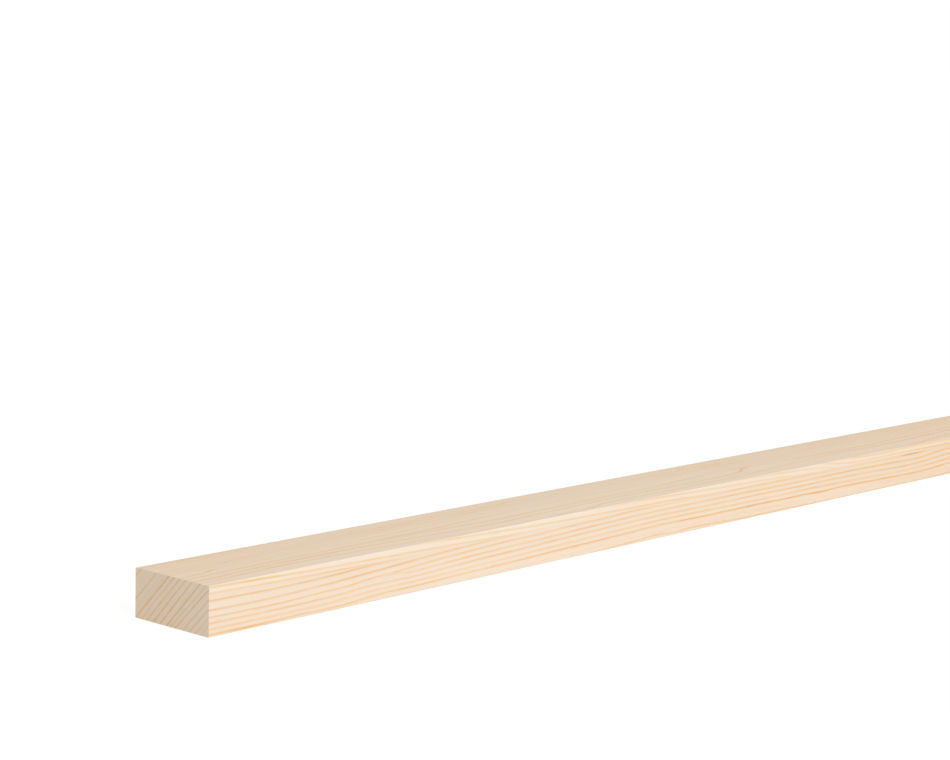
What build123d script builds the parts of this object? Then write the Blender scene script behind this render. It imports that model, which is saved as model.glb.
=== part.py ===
from build123d import *
import os

# Planed square-edged softwood plank: one sawn length of stock, lying on one of its broad faces.
# Millimetres. The length runs along X, the width along Y and the thickness along Z, and the
# origin is under the middle of the plank, on the surface that it lies on.

# Finished section and length of the stock
length = 1800
width = 44
thickness = 20.5

# The four long arrises are barely eased: enough to take the splinter off, and still crisp to the eye
arris_radius = 0.3

# The planed section is drawn on the near end, with its underside on the ground, and runs to the far
# end. Both ends are left square and sharp, as the crosscut saw leaves them.
with BuildPart() as plank:
    with BuildSketch(Plane.YZ.offset(-length / 2)) as section:
        Rectangle(width, thickness, align=(Align.CENTER, Align.MIN))
        fillet(section.vertices(), radius=arris_radius)
    extrude(amount=length)

plank.part.label = "plank"

os.makedirs("parts", exist_ok=True)
export_step(plank.part, "parts/plank.step")
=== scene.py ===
import math

import bpy
import numpy as np
from mathutils import Matrix, Vector


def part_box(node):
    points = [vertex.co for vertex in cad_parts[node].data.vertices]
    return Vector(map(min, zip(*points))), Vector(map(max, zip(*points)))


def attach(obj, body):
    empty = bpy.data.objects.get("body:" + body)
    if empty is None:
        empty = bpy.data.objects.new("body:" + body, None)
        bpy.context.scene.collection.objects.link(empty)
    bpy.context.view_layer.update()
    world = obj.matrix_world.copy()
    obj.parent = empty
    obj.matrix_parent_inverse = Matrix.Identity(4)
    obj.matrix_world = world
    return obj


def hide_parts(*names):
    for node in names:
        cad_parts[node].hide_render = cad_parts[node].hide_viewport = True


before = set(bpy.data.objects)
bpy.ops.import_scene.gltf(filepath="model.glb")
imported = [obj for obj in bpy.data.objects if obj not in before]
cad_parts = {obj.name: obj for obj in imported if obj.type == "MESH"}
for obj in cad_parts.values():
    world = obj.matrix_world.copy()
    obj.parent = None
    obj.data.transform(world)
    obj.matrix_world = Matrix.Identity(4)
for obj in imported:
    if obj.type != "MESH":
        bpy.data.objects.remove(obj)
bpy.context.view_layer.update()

# Places on the plank are in millimetres: along from the near end, across from the left edge face, and up
# from the underside.
MM = 0.001
low, high = (Vector(corner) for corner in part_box("plank"))
LENGTH, WIDTH, THICKNESS = (high - low) / MM

# The long arrises are eased by so many millimetres. Edges that turn by more than so many degrees look crisp.
ARRIS = 0.3
CRISP_TURN = 10

# The camera of the photograph: its place in millimetres, how it is turned in degrees, and its lens and
# sensor in millimetres
CAMERA_PLACE = (-588.6, -662.8, 227.7)
CAMERA_HEADING = 41.871
CAMERA_DOWN = 8.005
CAMERA_ROLL = 1.545
CAMERA_LENS = 88.24
CAMERA_SENSOR = 36

# Soft studio light: the level of the white surroundings, and a broad softbox with its level, the direction
# that it shines from and its breadth in degrees
SURROUND_LEVEL = 0.66
SOFTBOX_LEVEL = 0.432
SOFTBOX_FROM = (-0.168, -0.863, 0.49)
SOFTBOX_BREADTH = 40

# The floor is a white card that reaches so many metres to each side and lies so many millimetres below the
# plank. To the camera a share of it glows, so that it is white round the plank's faint shadow.
FLOOR_REACH = 30
FLOOR_DROP = 0.02
FLOOR_COLOUR = "#D8D8D8"
FLOOR_GLOW_SHARE = 0.75
FLOOR_GLOW = 1.16

# Mesh spacing in millimetres: the stretch that the photograph shows is finer than the rest
SHOWN_LENGTH = 600
SHOWN_STEP = 3
FAR_STEP = 9
ACROSS_STEP = 0.6
UP_STEP = 0.48

# After planing, the soft earlywood settles a little lower than the lines: by so many millimetres where the
# lines are this far apart, and less where they are closer. Near an edge the dip runs out over some
# millimetres, and over some more the dips of two sets of lines run into each other at a crest.
EARLYWOOD_DIP = 0.03
DIP_GAP = 3.0
DIP_RUN_OUT = 2.0
DIP_CREST_BLEND = 1.0

# Growth rings where they meet the left edge face. Each line is points of millimetres along, millimetres up
# and how dark its latewood is. The rising lines are cut by the crest of a wave in the grain, and the falling
# ones come down to that crest from the top face.
LEFT_RISING = [
    [(0, -2.2, 0), (200, -0.8, 0.3), (245, 0.4, 0.5), (270, 1.3, 0.6), (285, 1.9, 0.6), (297, 1.25, 0.5),
     (310, 1.7, 0.75), (325, 1.55, 0.7), (345, 1.0, 0.65), (385, 0.75, 0.6), (440, 0.3, 0.5),
     (500, 0.3, 0.55), (535, 0.5, 0.7), (560, 1.0, 0.8)],
    [(0, -0.6, 0), (150, 0.6, 0), (185, 1.3, 0.12), (240, 2.3, 0.15), (300, 3.6, 0.1), (340, 3.3, 0.05),
     (355, 3.5, 0.15), (370, 3.5, 0.2), (400, 3.2, 0.05), (560, 3.6, 0.1)],
    [(0, 1.15, 0.85), (30, 1.0, 0.9), (50, 1.35, 0.6), (75, 1.4, 0.55), (92, 2.5, 0.6), (118, 2.8, 0.75),
     (140, 3.4, 0.55), (180, 4.1, 0.65), (212, 4.8, 0.85), (235, 5.2, 0.9), (265, 5.95, 0.65),
     (288, 6.5, 0.7), (305, 6.2, 1.0), (345, 6.1, 0.9), (372, 6.2, 1.15), (390, 5.95, 0.9),
     (404, 6.1, 1.05), (425, 5.7, 1.2), (440, 5.95, 0.95), (475, 5.6, 1.1), (508, 5.15, 0.9),
     (527, 5.3, 0.95), (545, 6.1, 1.0), (560, 6.7, 1.05)],
    [(0, 3.25, 0.6), (40, 3.2, 0.4), (65, 3.5, 0.5), (92, 4.65, 0.35), (118, 4.95, 0.5),
     (150, 5.75, 0.38), (190, 6.6, 0.5), (225, 7.4, 0.45), (255, 8.1, 0.45), (285, 8.75, 0.6),
     (315, 8.8, 0.8), (345, 8.5, 0.6), (390, 8.4, 0.4), (412, 8.6, 0.75), (440, 8.4, 0.6),
     (470, 8.0, 0.5), (495, 7.55, 0.35), (513, 7.6, 0.42), (532, 8.2, 0.65), (560, 9.4, 0.85)],
    [(0, 5.65, 0.65), (42, 5.65, 0.7), (72, 6.2, 0.6), (90, 7.05, 0.5), (118, 7.1, 0.45), (135, 7.7, 0.5),
     (158, 8.5, 0.7), (190, 9.2, 0.6), (228, 10.15, 0.7), (262, 10.85, 0.55), (290, 11.1, 0.55),
     (330, 10.95, 0.55), (360, 11.15, 0.7), (400, 10.95, 0.8), (450, 11.0, 0.62), (475, 10.6, 0.6),
     (492, 10.2, 0.95), (518, 10.25, 0.8), (534, 11.1, 0.65), (560, 12.3, 0.9)],
    [(0, 6.8, 0), (70, 7.5, 0), (92, 9.6, 0.1), (98, 10.0, 0.4), (103, 10.1, 0.5), (107, 9.8, 0.3),
     (111, 9.4, 0.4), (125, 9.65, 0.45), (150, 10.55, 0.7), (178, 11.3, 0.45), (200, 11.7, 0.52),
     (225, 12.4, 0.7), (250, 12.95, 0.6), (270, 13.4, 0.6), (300, 13.55, 0.6), (345, 13.6, 0.8),
     (372, 13.5, 0.7), (420, 13.4, 0.65), (440, 13.6, 0.8), (470, 13.45, 0.9), (495, 13.2, 0.85),
     (515, 12.9, 0.7), (525, 13.2, 0.75), (538, 14.3, 0.95), (560, 15.1, 1.0)],
    [(0, 7.93, 0.7), (42, 7.9, 0.65), (60, 8.5, 0.55), (78, 8.95, 0.75), (90, 10.05, 0.8),
     (102, 10.45, 0.85), (112, 11.15, 0.5), (122, 11.85, 0.7), (145, 12.8, 0.6), (170, 13.7, 0.7),
     (197, 14.2, 0.62), (225, 15.0, 0.7), (242, 15.2, 0.58), (262, 15.9, 0.7), (280, 15.95, 0.55),
     (305, 15.9, 0.25), (345, 16.1, 0.6), (400, 15.95, 0.64), (440, 16.0, 0.36), (485, 15.9, 0.5),
     (500, 15.95, 0.4), (515, 16.1, 0.3), (535, 16.25, 0.32), (560, 16.75, 0.25)],
    [(0, 10.87, 0.75), (28, 10.6, 0.7), (45, 10.95, 0.55), (70, 11.83, 0.78), (95, 13.0, 0.8),
     (118, 14.2, 0.68), (142, 15.2, 0.7), (165, 15.85, 0.5), (185, 16.4, 0.35), (260, 18.0, 0.3),
     (560, 20, 0.5)],
    [(0, 14.55, 0.8), (36, 14.25, 0.7), (65, 14.65, 0.85), (85, 15.6, 0.7), (104, 16.1, 0.55),
     (140, 17.2, 0.4), (260, 20.5, 0.4), (560, 23, 0.5)],
]
LEFT_FALLING = [
    [(0, 17.55, 0.58), (40, 16.88, 0.53), (75, 16.3, 0.7), (104, 15.9, 0.3), (200, 14, 0), (560, 7, 0)],
    [(0, 19.95, 0.6), (28, 19.25, 0.8), (60, 18.4, 0.52), (88, 18.05, 0.65), (125, 17.5, 0.57),
     (150, 17.05, 0.55), (175, 16.45, 0.42), (195, 16.1, 0.4), (560, 10, 0)],
    [(0, 24.5, 0.5), (110, 20.95, 0.5), (143, 19.85, 0.55), (170, 19.1, 0.52), (200, 18.2, 0.52),
     (228, 17.95, 0.58), (262, 17.55, 0.68), (298, 17.15, 0.8), (322, 16.5, 0.55), (340, 16.1, 0.25),
     (560, 12, 0)],
    [(0, 29, 0.4), (240, 20.9, 0.45), (285, 19.9, 0.65), (318, 19.0, 0.45), (360, 18.2, 0.5),
     (390, 17.45, 0.52), (408, 16.6, 0.22), (425, 16.1, 0.08), (560, 14, 0)],
    [(0, 33, 0.3), (345, 20.9, 0.4), (393, 19.6, 0.55), (418, 18.65, 0.32), (428, 17.8, 0.32),
     (438, 16.2, 0.32), (460, 15.5, 0.1), (560, 15, 0)],
    [(0, 38, 0.4), (420, 21, 0.5), (433, 19.4, 0.55), (447, 18.2, 0.6), (475, 17.6, 0.45),
     (500, 17.85, 0.62), (530, 17.7, 0.9), (560, 17.45, 0.8)],
    [(0, 42, 0.4), (440, 20.8, 0.5), (475, 19.65, 0.8), (505, 20.0, 0.55), (560, 19.95, 0.65)],
]
LEFT_CREST = [(0, 16.05), (104, 16.05), (170, 16.1), (250, 16.25), (330, 16.35), (440, 16.4),
              (500, 16.45), (560, 16.9), (640, 18.5), (720, 21.5), (1800, 60)]

# Growth rings where they meet the top face: millimetres along, millimetres across and how dark
TOP_RINGS = [
    [(0, -9, 0), (560, -2.5, 0.4), (1800, -1.5, 0.5)],
    [(0, -6, 0), (560, -0.8, 0.4), (640, 0.6, 0.5), (1800, 3, 0.5)],
    [(0, 1.5, 0.3), (12, 0.8, 0), (60, -1, 0), (480, -1.5, 0.3), (508, 0.5, 0.45), (518, 1.6, 0.58),
     (527, 3.1, 0.6), (538, 5.3, 0.48), (550, 6.7, 0.55), (560, 7.6, 0.65)],
    [(0, 5.2, 0.12), (9, 6.0, 0.2), (20, 6.8, 0.55), (40, 8.15, 0.68), (60, 8.0, 0.68), (85, 7.3, 0.5),
     (115, 5.5, 0.4), (135, 4.0, 0.3), (148, 1.9, 0.32), (165, 1.5, 0.22), (185, 1.55, 0.3),
     (215, 2.5, 0.4), (238, 3.4, 0.55), (243, 4.2, 0.45), (248, 5.9, 0.6), (252, 6.2, 0.45),
     (280, 6.1, 0.4), (310, 5.95, 0.4), (328, 6.7, 0.45), (345, 6.7, 0.5), (375, 7.6, 0.5),
     (390, 9.2, 0.5), (405, 10.2, 0.5), (430, 11.6, 0.45), (460, 12.8, 0.55), (500, 12.8, 0.6),
     (530, 13.4, 0.8), (560, 14.9, 0.8)],
    [(0, 9.5, 0.6), (15, 9.8, 0.55), (32, 11.5, 0.55), (60, 12.1, 0.55), (90, 12.0, 0.66),
     (115, 10.9, 0.52), (140, 9.6, 0.5), (165, 8.3, 0.5), (178, 8.1, 0.75), (210, 9.6, 0.48),
     (240, 10.6, 0.53), (268, 11.4, 0.5), (310, 11.2, 0.45), (345, 11.7, 0.58), (360, 12.4, 0.55),
     (366, 13.0, 0.52), (369, 13.7, 0.6), (375, 17.0, 0.66), (379, 18.9, 0.7), (383, 19.3, 0.6),
     (394, 19.1, 0.45), (415, 18.4, 0.5), (440, 17.8, 0.6), (490, 17.5, 0.62), (520, 18.3, 0.65),
     (545, 19.6, 0.75), (560, 20.0, 0.75)],
    [(0, 13.6, 0.6), (25, 15.4, 0.55), (50, 16.45, 0.5), (85, 16.7, 0.5), (110, 17.0, 0.55),
     (123, 17.3, 0.8), (134, 16.2, 0.4), (155, 15.0, 0.53), (175, 13.6, 0.6), (185, 13.5, 0.55),
     (210, 14.7, 0.58), (240, 15.4, 0.48), (265, 16.4, 0.4), (300, 16.5, 0.45), (320, 18.0, 0.55),
     (340, 19.9, 0.45), (360, 21.0, 0.4), (370, 21.1, 0.35), (376, 20.5, 0.35), (381, 19.9, 0.3),
     (388, 20.3, 0), (430, 22, 0), (480, 23.2, 0.25), (510, 23.4, 0.3), (560, 23.6, 0.3)],
    [(0, 15.6, 0), (20, 17.5, 0), (60, 19.2, 0), (118, 19.4, 0), (130, 18.0, 0.5), (145, 18.6, 0.5),
     (160, 19.5, 0.55), (185, 20.8, 0.5), (205, 22.3, 0.28), (240, 23.3, 0.3), (290, 23.4, 0.35),
     (308, 23.5, 0.2), (320, 23.8, 0), (372, 24.2, 0), (560, 26.3, 0.2)],
    [(0, 17.6, 0.5), (12, 18.6, 0.6), (18, 20.1, 0.85), (20.5, 20.9, 0.7), (24, 21.1, 0.3),
     (45, 21.1, 0.4), (62, 21.8, 0.3), (100, 22.1, 0.25), (125, 23.1, 0.42), (150, 24.3, 0.35),
     (172, 25.3, 0.32), (190, 26, 0.12), (210, 26.6, 0), (560, 29, 0.2)],
    [(0, 23.8, 0.3), (25, 24.6, 0.1), (95, 26.3, 0.2), (120, 27.7, 0.25), (150, 29.4, 0.42),
     (170, 30.3, 0.24), (180, 30.9, 0.5), (192, 32.0, 0.45), (205, 33.1, 0.3), (225, 33.6, 0),
     (285, 29.2, 0), (300, 29.7, 0.2), (330, 29.6, 0.3), (350, 30.5, 0.4), (362, 31.6, 0.45),
     (378, 31.8, 0.35), (405, 31.2, 0.3), (425, 31.2, 0), (455, 31.2, 0.3), (485, 31.2, 0.3),
     (500, 31.2, 0.1), (560, 31.8, 0.25)],
    [(0, 27.8, 0.35), (30, 28.3, 0.26), (38, 28.8, 0.52), (60, 29.5, 0.3), (100, 30.5, 0.3),
     (120, 31.2, 0.55), (150, 32.9, 0.45), (165, 34.0, 0), (178, 34.8, 0.28), (195, 36.0, 0.36),
     (212, 36.6, 0.58), (240, 36.6, 0), (285, 34.1, 0.2), (305, 34.9, 0.25), (345, 35.0, 0.48),
     (366, 35.6, 0.5), (390, 35.7, 0.2), (415, 35.8, 0), (560, 35.6, 0.2)],
    [(0, 30.6, 0.35), (20, 31.3, 0.35), (50, 32.1, 0.25), (105, 33.9, 0.3), (120, 34.9, 0.4),
     (150, 36.0, 0.42), (165, 36.6, 0.32), (180, 37, 0), (560, 39.5, 0.2)],
    [(0, 37, 0), (20, 38.1, 0.25), (45, 39, 0.25), (60, 39.3, 0), (560, 41.8, 0.2)],
    [(0, 41.2, 0.45), (25, 41.7, 0.45), (60, 42.4, 0.2), (110, 42.8, 0.2), (200, 43.4, 0.2),
     (560, 45, 0.4)],
]

# How strong the lines of each face are
LEFT_STRENGTH = 0.9
TOP_STRENGTH = 1.18
END_STRENGTH = 0.8

# How broad the lines of the top face are beside those of the others, by millimetres along: most in a hook
TOP_BREADTH = [(0, 1.4), (364, 1.4), (371, 2.1), (379, 2.1), (386, 1.4), (1800, 1.4)]

# No two lines come closer than so many millimetres, and blank lines with this gap fill up the rest of a face
LEAST_GAP = 0.3
BLANK_GAP = 3.0
BLANK_COUNT = 18

# How warm the wood is drawn, from pale, 0, to honey, 1: by millimetres along, and then up or across each
# face.
# Where no face says more, it has the plain warmth. On the left edge and the top face part of it is painted
# shade.
# Along the left edge face part of the warmth is painted shade: it darkens the wood along the first 560
# millimetres, as the light falls off there.
LEFT_WARM_AND_SHADE_ALONG = [(0, 0.27), (120, 0.31), (200, 0.3), (280, 0.33), (360, 0.44), (440, 0.47), (540, 0.68),
                   (620, 0.65), (900, 0.35), (1300, 0.6), (1800, 0.35)]
# Up the left edge face the warmth is partly painted shade, which evens out how the light falls up that face.
LEFT_WARM_AND_SHADE_UP = [(0, 0.07), (4, 0.06), (7, -0.01), (11, -0.04), (13, -0.01), (15, 0.09), (16.3, 0.07),
                (17.5, -0.28), (20.5, -0.34)]
TOP_WARM_ALONG = [(0, 0.58), (200, 0.51), (280, 0.54), (360, 0.6), (440, 0.63), (560, 0.66), (900, 0.4),
                  (1300, 0.65), (1800, 0.4)]
# Across the top face the warmth is partly painted shade: warmer towards the far edge, to cancel the pale
# veil of the sheen there.
TOP_WARM_AND_SHADE_ACROSS = [(0, -0.03), (8, -0.03), (16, -0.02), (22, 0.0), (28, 0.11), (36, 0.23), (44, 0.34)]
END_WARM_ACROSS = [(0, 0.18), (12, 0.26), (24, 0.52), (44, 0.64)]
PLAIN_WARM = 0.3

# How much redder than golden the latewood is: plain, and on the left edge face under and over the crest,
# with the millimetres over which the one turns into the other
PLAIN_TINT = -0.3
UNDER_CREST_TINT = -0.12
OVER_CREST_TINT = -0.42
TINT_BLEND = 0.5

# A small lens of resin on the left edge face, under the crest of the wave. It is flat above and round below.
RESIN_ALONG, RESIN_UP = 509, 16.1
RESIN_BEFORE, RESIN_AFTER, RESIN_DEPTH, RESIN_FADE = 12, 22, 1.0, 0.4

# On the top face one line steps across in a hook, and resin has soaked into it there: how much, by
# millimetres along and across, and how much it reddens the line
SOAKED_ALONG = [(364, 0), (370, 1), (380, 1), (388, 0)]
SOAKED_ACROSS = [(11, 0), (13, 1), (19.5, 1), (21, 0)]
SOAKED_TINT = 2.5

# Past the stretch that the photograph shows, the lines of a face wander together by these millimetres
LEFT_WANDER = [(560, 0), (620, 2.2), (760, 1.4), (900, 3.2), (1100, 0.8), (1300, 2.6), (1500, 4.4),
               (1650, 2.8), (1800, 3.6)]
TOP_WANDER = [(560, 0), (640, 2.0), (780, 4.5), (960, 2.0), (1120, 5.0), (1300, 8.5), (1480, 6.0),
              (1650, 7.5), (1800, 5.0)]

# There each line also sways a little by itself, and turns darker and paler. A sway is its size, its length
# in millimetres, how much longer it is on each next line, and the turn to the next line. It sets in over
# some millimetres.
PLACE_SWAY = (0.4, 37, 5, 1.7)
DARK_SWAY = (0.35, 49, 8, 2.1)
SWAY_SETS_IN = 200

# On the underside and the right edge the lines swing together: millimetres, length in millimetres and start
HIDDEN_SWINGS = [(2.2, 210, 1), (0.8, 83, 4)]

# Growth rings where they meet the near end, which they cross at about 45 degrees: millimetres up,
# millimetres across and how dark. They meet the lines of the long faces at the arrises.
NEAR_END_RINGS = [
    [(0, 1.0, 0.4), (20.5, -19.4, 0.4)],
    [(0, 4.9, 0.6), (4.4, 0.5, 0.6), (20.5, -15.8, 0.5)],
    [(0, 6.4, 0.08), (20.5, -14.3, 0.1)],
    [(0, 8.1, 0.65), (4, 3.9, 0.6), (20.5, -12.6, 0.5)],
    [(0, 11.8, 0.75), (6, 5.6, 0.86), (10, 1.5, 0.72), (20.5, -9.2, 0.6)],
    [(0, 15.45, 0.62), (6, 9.5, 0.86), (12, 3.2, 0.8), (20.5, -5.3, 0.6)],
    [(0, 17.5, 0.1), (6, 11.8, 0.12), (12, 5.9, 0.15), (18, -0.4, 0.15), (20.5, -3.2, 0.15)],
    [(0, 20.0, 1.1), (6, 13.7, 0.84), (10, 9.6, 0.98), (14, 5.4, 1.25), (18, 0.95, 1.4),
     (20.5, -1.65, 1.4)],
    [(0, 22.9, 0.8), (4, 18.8, 0.7), (8, 14.8, 0.65), (12, 10.45, 0.7), (16, 6.2, 0.62),
     (20.5, 1.7, 0.55)],
    [(0, 25.1, 1.12), (6, 19.2, 1.1), (10, 15.3, 1.2), (14, 11.4, 1.1), (18, 7.6, 1.15),
     (20.5, 5.2, 1.15)],
    [(0, 29.2, 1.0), (4, 25.5, 1.08), (8, 21.7, 1.12), (12, 18.0, 1.05), (16, 14.1, 0.9),
     (20.5, 10.1, 0.8)],
    [(0, 33.35, 0.8), (4, 29.55, 1.02), (8, 25.85, 1.0), (12, 22.1, 0.95), (16, 18.1, 0.76),
     (20.5, 13.85, 0.72)],
    [(0, 36.95, 0.74), (4, 33.35, 0.86), (8, 29.5, 0.92), (12, 25.6, 0.74), (16, 21.65, 0.7),
     (20.5, 17.25, 0.88)],
    [(0, 40.3, 0.65), (4, 36.7, 0.7), (8, 33.0, 0.75), (12, 29.0, 0.56), (16, 25.0, 0.76),
     (20.5, 20.6, 1.05)],
    [(0, 43.6, 0.86), (4, 40.05, 1.0), (8, 36.05, 1.08), (12, 32.2, 1.0), (16, 28.1, 1.15),
     (20.5, 23.7, 1.48)],
    [(0, 47.9, 0.3), (10, 38.1, 0.32), (16, 32.3, 0.3), (20.5, 28.5, 0.2)],
    [(0, 51.5, 1.0), (10, 41.5, 1.0), (14, 37.5, 0.9), (20.5, 31.1, 0.95)],
    [(0, 61.3, 0.9), (20.5, 40.8, 0.9)],
]

# Soft bands of slower growth beside some of those rings, in the same terms, and how broad they are beside a
# ring
NEAR_END_BANDS = [
    [(0, 21.5, 0), (10, 11.5, 0), (14, 7.2, 0.12), (20.5, 0.5, 0.12)],
    [(0, 26.6, 0), (8, 18.6, 0.05), (12, 14.7, 0.2), (16, 10.9, 0.24), (20.5, 6.5, 0.15)],
    [(0, 32.1, 0.22), (4, 28.3, 0.24), (8, 24.6, 0.14), (12, 21, 0.05), (20.5, 13, 0.12)],
    [(0, 35.2, 0.12), (8, 28, 0.12), (20.5, 16, 0.1)],
    [(0, 45.6, 0.1), (10, 36, 0.14), (15, 31, 0.22), (20.5, 26, 0.22)],
]
BAND_BREADTH = 1.5

# The map of the faces on one square: its pixels, the pixels between faces and for each millimetre across
# them, the margin at the sides, and the share of the square for each end and from one end to the other
MAP_PIXELS = 1024
MAP_GAP = 4
MAP_SCALE = 6.2
MAP_MARGIN = 0.01
MAP_END_SHARE = 0.39
MAP_END_STEP = 0.5


def smooth_step(value):
    """Runs smoothly from 0 to 1 as the value does."""
    value = np.clip(value, 0, 1)
    return value * value * (3 - 2 * value)


def straight(points, place):
    """Straight runs between given points, read at each place."""
    return np.interp(place, *np.array(points).T)


def smooth_curve(x, y, slope, place):
    """A smooth curve through points with known slopes, read at each place."""
    i = np.clip(np.searchsorted(x, place) - 1, 0, len(x) - 2)
    step = x[i + 1] - x[i]
    t = np.clip((place - x[i]) / step, 0, 1)
    rise = y[i] * (1 + 2 * t) * (1 - t) ** 2 + y[i + 1] * t * t * (3 - 2 * t)
    return rise + step * t * (1 - t) * (slope[i] * (1 - t) - slope[i + 1] * t)


def curve(points, place):
    """A smooth curve through given points, read at each place."""
    x = np.array([p[0] for p in points], float)
    y = np.array([p[1] for p in points], float)
    return smooth_curve(x, y, np.gradient(y, x), place)


def sway(size, length, longer, turn, lines, along):
    """A slow swing along each of some lines, a little different from line to line."""
    line = np.arange(lines)[:, None]
    return size * np.sin(along / (length + longer * line) + turn * line)


def lay_lines(lines, along, strength, wander=None):
    """The place and the darkness of each growth ring line, at each place along a face."""
    places = np.array([curve(line, along) for line in lines])
    darks = strength * np.array([straight([(p[0], p[2]) for p in line], along) for line in lines])
    if wander:
        start = wander[0][0]
        beyond = np.clip((along - start) / SWAY_SETS_IN, 0, 1)
        places += curve(wander, along) * (along > start) + beyond * sway(*PLACE_SWAY, len(lines), along)
        darks *= 1 + beyond * sway(*DARK_SWAY, len(lines), along)
    return places, darks


def pad_lines(places, darks):
    """Blank lines on both sides of a set of lines, so that it covers any face."""
    steps = BLANK_GAP * np.arange(1, BLANK_COUNT + 1)[:, None]
    places = np.vstack([places[0] - steps[::-1], places, places[-1] + steps])
    blank = np.zeros((BLANK_COUNT, darks.shape[1]))
    return places, np.vstack([blank, darks, blank])


def ring_field(places, darks, rows, breadth=1.0, slanting=False):
    """What the wood's pattern needs at each place on a face: the count of lines up to there, how dark the
    nearest line is, and the gap between the two lines beside it. Where lines slant across the mesh, the
    count runs smoothly through each of them, to keep their edges clean, and the gap is the mean one at
    the line."""
    places, darks = pad_lines(places, darks)
    for k in range(1, len(places)):
        places[k] = np.maximum(places[k], places[k - 1] + LEAST_GAP)
    count = np.arange(len(places))
    field = np.empty((places.shape[1], len(rows), 3))
    for i in range(places.shape[1]):
        if slanting:
            gaps = np.gradient(places[:, i])
            phase = smooth_curve(places[:, i], count, 1 / gaps, rows)
            beside = np.round(phase).astype(int)
        else:
            gaps = np.diff(places[:, i])
            phase = np.interp(rows, places[:, i], count)
            beside = np.clip(np.floor(phase).astype(int), 0, len(gaps) - 1)
        field[i, :, 0] = phase
        field[i, :, 1] = darks[np.round(phase).astype(int), i]
        field[i, :, 2] = gaps[beside]
    field[..., 2] /= breadth
    return field


def earlywood_dip(field, first, second):
    """How far the face lies below the CAD face at each place, from its ring field. The rows and the columns
    of the field are at these millimetres, and the dip is nothing at the face's edges."""
    wave = 0.5 - 0.5 * np.cos(2 * math.pi * field[..., 0])
    edges = []
    for place in (first, second):
        inside = np.minimum(place - place.min(), place.max() - place) - ARRIS
        edges.append(smooth_step(inside / DIP_RUN_OUT))
    closeness = np.minimum(field[..., 2] / DIP_GAP, 1)
    return EARLYWOOD_DIP * wave * np.outer(*edges) * closeness ** 2


def spaced(size, step):
    """Rows across a face: even ones between the arrises, and one in the middle of each arris."""
    flat = np.linspace(ARRIS, size - ARRIS, round(size / step) + 1)
    return np.concatenate([[0], flat, [size]])


# What each corner of the mesh carries for the wood's pattern, and the value where a face has none of it
PATTERNS = {"rings": (0.0, 0.0, 0.0), "rings_over": (0.0, 0.0, 0.0), "crest": -1.0, "resin": -1.0,
            "warm": PLAIN_WARM, "tint": PLAIN_TINT}


class Skin:
    """Gathers the plank's faces as grids of points, with the pattern and the map place of each corner."""

    def __init__(self):
        self.points, self.quads, self.maps, self.kinds = [], [], [], []
        self.patterns = {name: [] for name in PATTERNS}
        self.count = 0

    def add(self, along, across, up, kind, box, inward, dip, **patterns):
        """Adds one face. The dip moves its points inward, and the arrises are cut back at the corners."""
        along, across, up = np.broadcast_arrays(along, across, up)
        rows, columns = along.shape
        corner = ((across == 0) | (across == WIDTH)) & ((up == 0) | (up == THICKNESS))
        inset = np.where(corner, ARRIS * (1 - math.sqrt(0.5)), 0)
        across = across + np.where(across == 0, inset, -inset)
        up = up + np.where(up == 0, inset, -inset)
        points = np.stack([along, across, up], -1) + dip[..., None] * np.array(inward)
        self.points.append(points.reshape(-1, 3))

        index = np.arange(rows * columns).reshape(rows, columns)
        corners = [index[:-1, :-1], index[1:, :-1], index[1:, 1:], index[:-1, 1:]]
        quads = np.stack(corners, -1).reshape(-1, 4)
        self.quads.append(quads + self.count)
        self.count += rows * columns
        self.kinds.append(np.full(len(quads), kind))

        low_corner, high_corner = np.array(box[:2]), np.array(box[2:])
        row_shares, column_shares = np.linspace(0, 1, rows), np.linspace(0, 1, columns)
        shares = np.stack(np.meshgrid(row_shares, column_shares, indexing="ij"), -1)
        self.maps.append((low_corner + shares * (high_corner - low_corner)).reshape(-1, 2)[quads])
        for name, blank in PATTERNS.items():
            shape = (rows, columns) + np.shape(blank)
            value = np.broadcast_to(patterns.get(name, blank), shape)
            self.patterns[name].append(value.reshape(rows * columns, -1)[quads])

    def mesh(self, name):
        """The faces as one closed mesh, joined where they meet."""
        joined = np.round(np.concatenate(self.points), 4)
        points, index = np.unique(joined, axis=0, return_inverse=True)
        quads = index.reshape(-1)[np.concatenate(self.quads)]
        mesh = bpy.data.meshes.new(name)
        mesh.from_pydata((points * MM + np.array(low)).tolist(), [], quads.tolist())
        mesh.polygons.foreach_set("material_index", np.concatenate(self.kinds).astype(np.int32))
        for title, values in self.patterns.items():
            values = np.concatenate(values).astype(np.float32)
            form, field = ("FLOAT_VECTOR", "vector") if values.shape[-1] == 3 else ("FLOAT", "value")
            mesh.attributes.new(title, form, "CORNER").data.foreach_set(field, values.ravel())
        layer = mesh.uv_layers.new(name="OFBake")
        layer.data.foreach_set("uv", np.concatenate(self.maps).ravel().astype(np.float32))
        mesh.shade_smooth()
        mesh.set_sharp_from_angle(angle=math.radians(CRISP_TURN))
        return mesh


# Blender's noise lies mostly between these values
NOISE = (0.3, 0.7)

# The sockets for two colours and their mix on a Mix node, which has the same names for other kinds of value
COLOUR_A, COLOUR_B, COLOUR_OUT = 6, 7, 2


def linear(code):
    """An sRGB hex colour as linear red, green, blue and alpha."""
    parts = [int(code[i:i + 2], 16) / 255 for i in (1, 3, 5)]
    return [c / 12.92 if c <= 0.04045 else ((c + 0.055) / 1.055) ** 2.4 for c in parts] + [1.0]


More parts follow.
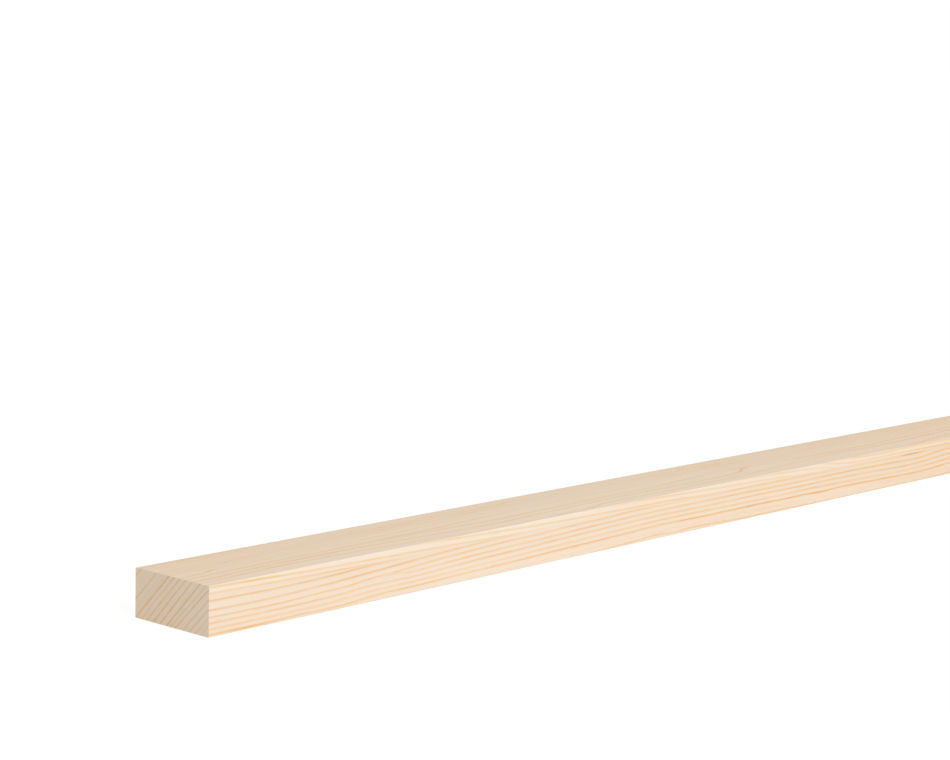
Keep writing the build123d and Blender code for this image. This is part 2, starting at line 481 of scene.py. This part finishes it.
def add(tree, kind, inputs=(), out=0, **settings):
    """Adds a node with its settings, sets or links its inputs, and returns one of its outputs."""
    node = tree.nodes.new(kind)
    for name, value in settings.items():
        setattr(node, name, value)
    pairs = inputs.items() if isinstance(inputs, dict) else enumerate(inputs)
    for socket, value in pairs:
        if isinstance(value, bpy.types.NodeSocket):
            tree.links.new(value, node.inputs[socket])
        else:
            node.inputs[socket].default_value = value
    return node if out is None else node.outputs[out]


def new_material(name):
    material = bpy.data.materials.new(name)
    material.use_nodes = True
    material.node_tree.nodes.clear()
    return material, material.node_tree


def latewood(tree, attribute, stray, inner, outer):
    """How much latewood there is, from one set of ring lines: each line fades in slowly and ends sharply,
    over so many millimetres."""
    rings = add(tree, "ShaderNodeAttribute", out="Vector", attribute_name=attribute)
    split = add(tree, "ShaderNodeSeparateXYZ", [rings], out=None)
    count, dark, gap = split.outputs
    nearest = add(tree, "ShaderNodeMath", [count], operation="ROUND")
    offset = add(tree, "ShaderNodeMath", [count, nearest], operation="SUBTRACT")
    away = add(tree, "ShaderNodeMath", [offset, gap, stray], operation="MULTIPLY_ADD")
    rise = add(tree, "ShaderNodeMapRange", [away, -inner, 0.0, 0.0, 1.0], interpolation_type="SMOOTHSTEP")
    fall = add(tree, "ShaderNodeMapRange", [away, 0.0, outer, 1.0, 0.0], interpolation_type="SMOOTHSTEP")
    line = add(tree, "ShaderNodeMath", [rise, fall], operation="MULTIPLY")
    return add(tree, "ShaderNodeMath", [line, dark], operation="MULTIPLY")


def streaks(tree, length, breadth, seed, detail=2.0):
    """Noise drawn out along the grain: the streaks are so many millimetres long and broad."""
    place = add(tree, "ShaderNodeTexCoord", out="Object")
    scale = (1 / (length * MM), 1 / (breadth * MM), 1 / (breadth * MM))
    spread = add(tree, "ShaderNodeMapping", {"Vector": place, "Scale": scale})
    return add(tree, "ShaderNodeTexNoise", {"Vector": spread, "W": seed, "Detail": detail, "Scale": 1.0},
               noise_dimensions="4D")


def planed_spruce():
    """Spruce, planed: pale earlywood between thin golden latewood lines, a faint satin sheen, fine fibre
    streaks and resin canals along the grain, and the shallow ripple that a planer's knives leave."""
    knife_pitch = 2.1
    relief_depth = 0.012
    material, tree = new_material("planed_spruce")

    # The lines stray by up to a tenth of a millimetre. The two sets of the left edge face meet at the crest.
    ragged = streaks(tree, length=10, breadth=0.6, seed=1.0)
    stray = add(tree, "ShaderNodeMapRange", [ragged, *NOISE, -0.1, 0.1])
    under = latewood(tree, "rings", stray, inner=0.9, outer=0.7)
    over = latewood(tree, "rings_over", stray, inner=0.9, outer=0.7)
    crest = add(tree, "ShaderNodeAttribute", out="Fac", attribute_name="crest")
    above = add(tree, "ShaderNodeMapRange", [crest, -0.15, 0.15, 0.0, 1.0], interpolation_type="SMOOTHSTEP")
    line = add(tree, "ShaderNodeMix", {"Factor": above, "A": under, "B": over})
    patches = streaks(tree, length=16, breadth=2, seed=6.0)
    patchy = add(tree, "ShaderNodeMapRange", [patches, *NOISE, 0.75, 1.25])
    dark = add(tree, "ShaderNodeMath", [line, patchy], operation="MULTIPLY")

    # Earlywood from pale to honey, by the warmth, which is partly painted shade on the left edge and the top
    # face
    clouds = streaks(tree, length=90, breadth=5, seed=2.0)
    drift = add(tree, "ShaderNodeMapRange", [clouds, *NOISE, -0.12, 0.12])
    warm = add(tree, "ShaderNodeAttribute", out="Fac", attribute_name="warm")
    mellow = add(tree, "ShaderNodeMath", [warm, drift], operation="ADD", use_clamp=True)
    early = add(tree, "ShaderNodeMix",
                {"Factor": mellow, COLOUR_A: linear("#F7E7D4"), COLOUR_B: linear("#EED6BC")},
                out=COLOUR_OUT, data_type="RGBA")

    # Latewood from golden to redder, and redder still where resin has soaked in
    flecks = streaks(tree, length=40, breadth=3, seed=3.0)
    mottle = add(tree, "ShaderNodeMapRange", [flecks, *NOISE, -0.25, 0.25])
    tint = add(tree, "ShaderNodeAttribute", out="Fac", attribute_name="tint")
    tint = add(tree, "ShaderNodeMath", [tint, mottle], operation="ADD")
    hue = add(tree, "ShaderNodeMath", [dark, 0.9, tint], operation="MULTIPLY_ADD")
    late = add(tree, "ShaderNodeMix",
               {"Factor": hue, COLOUR_A: linear("#F3C474"), COLOUR_B: linear("#EEB07A")},
               out=COLOUR_OUT, data_type="RGBA")
    soaked = add(tree, "ShaderNodeMapRange", [hue, 1.5, 2.0, 0.0, 1.0])
    late = add(tree, "ShaderNodeMix", {"Factor": soaked, COLOUR_A: late, COLOUR_B: linear("#F6B87A")},
               out=COLOUR_OUT, data_type="RGBA")
    wood = add(tree, "ShaderNodeMix", {"Factor": dark, COLOUR_A: early, COLOUR_B: late},
               out=COLOUR_OUT, data_type="RGBA")

    # Fibres are 0.03 mm broad and too fine to show, so their streaks are drawn ten times as broad
    fibre = streaks(tree, length=45, breadth=0.3, seed=8.0, detail=3.0)
    shade = add(tree, "ShaderNodeMapRange", [fibre, *NOISE, 0.988, 1.012])
    wood = add(tree, "ShaderNodeMix", {"Factor": 1.0, COLOUR_A: wood, COLOUR_B: shade},
               out=COLOUR_OUT, data_type="RGBA", blend_type="MULTIPLY")

    # Resin canals are thin brown dashes at the peaks of a noise. The lens of resin is amber.
    dashes = streaks(tree, length=9, breadth=0.35, seed=9.0, detail=0.0)
    canal = add(tree, "ShaderNodeMapRange", [dashes, 0.76, 0.82, 0.0, 0.4])
    wood = add(tree, "ShaderNodeMix", {"Factor": canal, COLOUR_A: wood, COLOUR_B: linear("#E3AE74")},
               out=COLOUR_OUT, data_type="RGBA")
    lens = add(tree, "ShaderNodeAttribute", out="Fac", attribute_name="resin")
    resin = add(tree, "ShaderNodeMapRange", [lens, 0.0, 0.7, 0.0, 1.0], interpolation_type="SMOOTHSTEP")
    wood = add(tree, "ShaderNodeMix", {"Factor": resin, COLOUR_A: wood, COLOUR_B: linear("#EEB178")},
               out=COLOUR_OUT, data_type="RGBA")

    # Too fine for the mesh: the fibres, the sharp rise of the dense latewood, which is also smoother, and
    # the ripple, which crosses the grain
    place = add(tree, "ShaderNodeTexCoord", out="Object")
    grainwise = add(tree, "ShaderNodeSeparateXYZ", [place])
    turn = add(tree, "ShaderNodeMath", [grainwise, 2 * math.pi / (knife_pitch * MM)], operation="MULTIPLY")
    ripple = add(tree, "ShaderNodeMath", [turn], operation="SINE")
    relief = add(tree, "ShaderNodeMath", [ripple, 0.12, fibre], operation="MULTIPLY_ADD")
    relief = add(tree, "ShaderNodeMath", [dark, 0.6, relief], operation="MULTIPLY_ADD")
    bump = add(tree, "ShaderNodeBump", {"Height": relief, "Distance": relief_depth * MM, "Strength": 1.0})
    rough = add(tree, "ShaderNodeMapRange", [dark, 0.0, 1.0, 0.7, 0.6])
    shader = add(tree, "ShaderNodeBsdfPrincipled", {"Base Color": wood, "Roughness": rough, "IOR": 1.5,
                                                    "Specular IOR Level": 0.06, "Normal": bump})
    add(tree, "ShaderNodeOutputMaterial", {"Surface": shader}, out=None)
    return material


def sawn_end_grain():
    """Spruce, cut across with a saw: the same rings end on, matt, with fine pores and the arcs of the saw's
    teeth."""
    saw_pitch = 1.7
    saw_centre = Vector((0, 60, -110)) * MM
    relief_depth = 0.03
    material, tree = new_material("sawn_end_grain")

    # The rings, and the soft bands beside some of them
    ragged = streaks(tree, length=0.8, breadth=0.8, seed=4.0)
    stray = add(tree, "ShaderNodeMapRange", [ragged, *NOISE, -0.1, 0.1])
    line = latewood(tree, "rings", stray, inner=1.0, outer=0.7)
    band = latewood(tree, "rings_over", stray, inner=1.0, outer=1.0)
    line = add(tree, "ShaderNodeMath", [line, band], operation="ADD")
    patches = streaks(tree, length=4, breadth=4, seed=7.0)
    patchy = add(tree, "ShaderNodeMapRange", [patches, *NOISE, 0.8, 1.2])
    dark = add(tree, "ShaderNodeMath", [line, patchy], operation="MULTIPLY")

    # Earlywood from pale to warm, and latewood that deepens where it is dark
    clouds = streaks(tree, length=8, breadth=8, seed=5.0)
    drift = add(tree, "ShaderNodeMapRange", [clouds, *NOISE, -0.15, 0.15])
    warm = add(tree, "ShaderNodeAttribute", out="Fac", attribute_name="warm")
    mellow = add(tree, "ShaderNodeMath", [warm, drift], operation="ADD", use_clamp=True)
    early = add(tree, "ShaderNodeMix",
                {"Factor": mellow, COLOUR_A: linear("#F5E4D2"), COLOUR_B: linear("#F4DDC3")},
                out=COLOUR_OUT, data_type="RGBA")
    late = add(tree, "ShaderNodeMix",
               {"Factor": dark, COLOUR_A: linear("#F2C87A"), COLOUR_B: linear("#EEBC7D")},
               out=COLOUR_OUT, data_type="RGBA")
    wood = add(tree, "ShaderNodeMix", {"Factor": dark, COLOUR_A: early, COLOUR_B: late},
               out=COLOUR_OUT, data_type="RGBA")

    # Pores are 0.03 mm across and too fine to show, so they are drawn ten times as large
    pores = streaks(tree, length=0.3, breadth=0.3, seed=10.0)
    shade = add(tree, "ShaderNodeMapRange", [pores, *NOISE, 0.97, 1.03])
    wood = add(tree, "ShaderNodeMix", {"Factor": 1.0, COLOUR_A: wood, COLOUR_B: shade},
               out=COLOUR_OUT, data_type="RGBA", blend_type="MULTIPLY")

    # The saw's arcs lie round its centre, a little uneven
    place = add(tree, "ShaderNodeTexCoord", out="Object")
    away = add(tree, "ShaderNodeVectorMath", [place, saw_centre], operation="SUBTRACT")
    flat = add(tree, "ShaderNodeVectorMath", [away, (0.0, 1.0, 1.0)], operation="MULTIPLY")
    reach = add(tree, "ShaderNodeVectorMath", [flat], out="Value", operation="LENGTH")
    turn = add(tree, "ShaderNodeMath", [reach, 2 * math.pi / (saw_pitch * MM)], operation="MULTIPLY")
    turn = add(tree, "ShaderNodeMath", [ragged, 3.0, turn], operation="MULTIPLY_ADD")
    arcs = add(tree, "ShaderNodeMath", [turn], operation="SINE")
    relief = add(tree, "ShaderNodeMath", [arcs, 0.15, pores], operation="MULTIPLY_ADD")
    bump = add(tree, "ShaderNodeBump", {"Height": relief, "Distance": relief_depth * MM, "Strength": 1.0})
    shader = add(tree, "ShaderNodeBsdfPrincipled", {"Base Color": wood, "Roughness": 0.85, "IOR": 1.5,
                                                    "Specular IOR Level": 0.05, "Normal": bump})
    add(tree, "ShaderNodeOutputMaterial", {"Surface": shader}, out=None)
    return material


def map_boxes():
    """Where each face lies on the map: the long faces above each other, and the two ends side by side."""
    gap = MAP_GAP / MAP_PIXELS
    edge = THICKNESS * MAP_SCALE / MAP_PIXELS
    broad = WIDTH * MAP_SCALE / MAP_PIXELS
    boxes = []
    level = gap
    for size in (edge, broad, edge, broad):
        boxes.append((MAP_MARGIN, level, 1 - MAP_MARGIN, level + size))
        level += size + gap
    for side in (MAP_MARGIN, MAP_MARGIN + MAP_END_STEP):
        boxes.append((side, level, side + MAP_END_SHARE, 1 - gap))
    return boxes


def plank_piece():
    shown = np.arange(0, SHOWN_LENGTH, SHOWN_STEP)
    rest = np.linspace(SHOWN_LENGTH, LENGTH, round((LENGTH - SHOWN_LENGTH) / FAR_STEP) + 1)
    along = np.concatenate([shown, rest])
    across, up = spaced(WIDTH, ACROSS_STEP), spaced(THICKNESS, UP_STEP)
    rows = along[:, None]

    # The lines of each face. The far end's are those that reach it on the left edge and the top face.
    rising = lay_lines(LEFT_RISING, along, LEFT_STRENGTH, LEFT_WANDER)
    falling = lay_lines(LEFT_FALLING, along, LEFT_STRENGTH, LEFT_WANDER)
    top = lay_lines(TOP_RINGS, along, TOP_STRENGTH, TOP_WANDER)
    near = lay_lines(NEAR_END_RINGS, up, END_STRENGTH)
    bands = lay_lines(NEAR_END_BANDS, up, END_STRENGTH)
    on_left = rising[0][:, -1] < THICKNESS
    far_places = np.concatenate([rising[0][on_left, -1], top[0][:, -1] + THICKNESS])
    far_darks = np.concatenate([rising[1][on_left, -1], top[1][:, -1]])
    far_order = np.argsort(far_places)
    far_places, far_darks = far_places[far_order, None], far_darks[far_order, None]
    far = (far_places - up, np.repeat(far_darks, len(up), 1))

    # The underside and the right edge have lines that run from the near end's rings to the far end's
    pairs = min(len(near[0]), len(far_places))
    share = along / LENGTH
    swing = sum(size * np.sin(along / length + start) for size, length, start in HIDDEN_SWINGS)
    swing = np.sin(math.pi * share) * swing
    hidden = (near[0][:pairs, :1] * (1 - share) + far_places[:pairs] * share + swing,
              near[1][:pairs, :1] * (1 - share) + far_darks[:pairs] * share)

    crest = up - curve(LEFT_CREST, along)[:, None]
    under_crest, over_crest = ring_field(*rising, up), ring_field(*falling, up)
    on_top = ring_field(*top, across, straight(TOP_BREADTH, along)[:, None])
    on_right, on_under = ring_field(*hidden, WIDTH + up[::-1]), ring_field(*hidden, across[::-1])
    on_near = ring_field(*near, across, slanting=True)
    in_bands = ring_field(*bands, across, BAND_BREADTH, slanting=True)
    on_far = ring_field(*far, across, slanting=True).swapaxes(0, 1)

    over = smooth_step(crest / DIP_CREST_BLEND + 0.5)
    left_dip = earlywood_dip(under_crest, along, up) * (1 - over)
    left_dip += earlywood_dip(over_crest, along, up) * over
    top_dip = earlywood_dip(on_top, along, across)
    right_dip = earlywood_dip(on_right, along, up[::-1])
    under_dip = earlywood_dip(on_under, along, across[::-1])
    near_dip = earlywood_dip(on_near, up, across)
    far_dip = earlywood_dip(on_far, across, up)

    end_across, end_up = np.meshgrid(across, up)
    # The warmth along the left edge face, partly painted shade, is also used for the right edge and the
    # underside.
    warm = curve(LEFT_WARM_AND_SHADE_ALONG, along)[:, None]
    left_warm_and_shade = warm + straight(LEFT_WARM_AND_SHADE_UP, up)
    top_warm_and_shade = curve(TOP_WARM_ALONG, along)[:, None] + straight(TOP_WARM_AND_SHADE_ACROSS, across)
    end_warm = straight(END_WARM_ACROSS, end_across)
    under_share = 0.5 - 0.5 * np.tanh(crest / TINT_BLEND)
    left_tint = OVER_CREST_TINT + (UNDER_CREST_TINT - OVER_CREST_TINT) * under_share
    soaked = straight(SOAKED_ALONG, along)[:, None] * straight(SOAKED_ACROSS, across)
    top_tint = PLAIN_TINT + SOAKED_TINT * soaked
    belly = 1 - ((rows - RESIN_ALONG) / np.where(rows < RESIN_ALONG, RESIN_BEFORE, RESIN_AFTER)) ** 2
    lens = belly - np.where(up < RESIN_UP, (RESIN_UP - up) / RESIN_DEPTH, (up - RESIN_UP) / RESIN_FADE)

    planed, sawn = 0, 1
    left_box, top_box, right_box, under_box, near_box, far_box = map_boxes()
    skin = Skin()
    skin.add(rows, 0, up, planed, left_box, (0, 1, 0), left_dip, rings=under_crest, rings_over=over_crest,
             crest=crest, resin=lens, warm=left_warm_and_shade, tint=left_tint)
    skin.add(rows, across, THICKNESS, planed, top_box, (0, 0, -1), top_dip, rings=on_top, warm=top_warm_and_shade,
             tint=top_tint)
    skin.add(rows, WIDTH, up[::-1], planed, right_box, (0, -1, 0), right_dip, rings=on_right, warm=warm)
    skin.add(rows, across[::-1], 0, planed, under_box, (0, 0, 1), under_dip, rings=on_under, warm=warm)
    skin.add(0, end_across, end_up, sawn, near_box, (1, 0, 0), near_dip, rings=on_near, rings_over=in_bands,
             warm=end_warm)
    skin.add(LENGTH, end_across.T, end_up.T, sawn, far_box, (-1, 0, 0), far_dip, rings=on_far,
             warm=end_warm.T)

    piece = bpy.data.objects.new("planed_plank", skin.mesh("planed_plank"))
    bpy.context.scene.collection.objects.link(piece)
    piece.data.materials.append(planed_spruce())
    piece.data.materials.append(sawn_end_grain())
    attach(piece, "root")
    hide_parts("plank")


def seen_directly(tree):
    """One for the rays that look at a thing, straight or by way of a mirror or glass, and nothing for those
    that light it."""
    rays = add(tree, "ShaderNodeLightPath", out=None).outputs
    seen = add(tree, "ShaderNodeMath", [rays["Is Camera Ray"], rays["Is Glossy Ray"]], operation="MAXIMUM")
    return add(tree, "ShaderNodeMath", [seen, rays["Is Transmission Ray"]], operation="MAXIMUM")


def floor_piece():
    mesh = bpy.data.meshes.new("floor")
    corners = [(-1, -1, 0), (1, -1, 0), (1, 1, 0), (-1, 1, 0)]
    mesh.from_pydata([Vector(corner) * FLOOR_REACH for corner in corners], [], [(0, 1, 2, 3)])
    floor = bpy.data.objects.new("floor", mesh)
    floor.location.z = low.z - FLOOR_DROP * MM
    bpy.context.scene.collection.objects.link(floor)
    material, tree = new_material("white_card")
    share = add(tree, "ShaderNodeMath", [seen_directly(tree), FLOOR_GLOW_SHARE], operation="MULTIPLY")
    card = add(tree, "ShaderNodeBsdfDiffuse", {"Color": linear(FLOOR_COLOUR)})
    glow = add(tree, "ShaderNodeEmission", {"Strength": FLOOR_GLOW})
    both = add(tree, "ShaderNodeMixShader", [share, card, glow])
    add(tree, "ShaderNodeOutputMaterial", {"Surface": both}, out=None)
    mesh.materials.append(material)


def studio_light():
    world = bpy.data.worlds.new("studio")
    bpy.context.scene.world = world
    world.use_nodes = True
    tree = world.node_tree
    tree.nodes.clear()
    dim = add(tree, "ShaderNodeBackground", {"Color": (1, 1, 1, 1), "Strength": SURROUND_LEVEL})
    white = add(tree, "ShaderNodeBackground", {"Color": (1, 1, 1, 1), "Strength": 1.0})
    mixed = add(tree, "ShaderNodeMixShader", [seen_directly(tree), dim, white])
    add(tree, "ShaderNodeOutputWorld", {"Surface": mixed}, out=None)

    lamp = bpy.data.lights.new("softbox", "SUN")
    lamp.energy = math.pi * SOFTBOX_LEVEL
    lamp.angle = math.radians(SOFTBOX_BREADTH)
    key = bpy.data.objects.new("softbox", lamp)
    key.rotation_mode = "QUATERNION"
    key.rotation_quaternion = Vector(SOFTBOX_FROM).to_track_quat("Z", "Y")
    bpy.context.scene.collection.objects.link(key)


def photo_camera():
    data = bpy.data.cameras.new("photo_camera")
    data.sensor_width = CAMERA_SENSOR
    data.lens = CAMERA_LENS
    camera = bpy.data.objects.new("photo_camera", data)
    turn = (Matrix.Rotation(math.radians(CAMERA_HEADING - 90), 4, "Z")
            @ Matrix.Rotation(math.radians(90 - CAMERA_DOWN), 4, "X")
            @ Matrix.Rotation(math.radians(CAMERA_ROLL), 4, "Z"))
    camera.matrix_world = Matrix.Translation(low + Vector(CAMERA_PLACE) * MM) @ turn
    bpy.context.scene.collection.objects.link(camera)
    bpy.context.scene.camera = camera


plank_piece()
floor_piece()
studio_light()
photo_camera()
bpy.context.scene.view_settings.view_transform = "Standard"
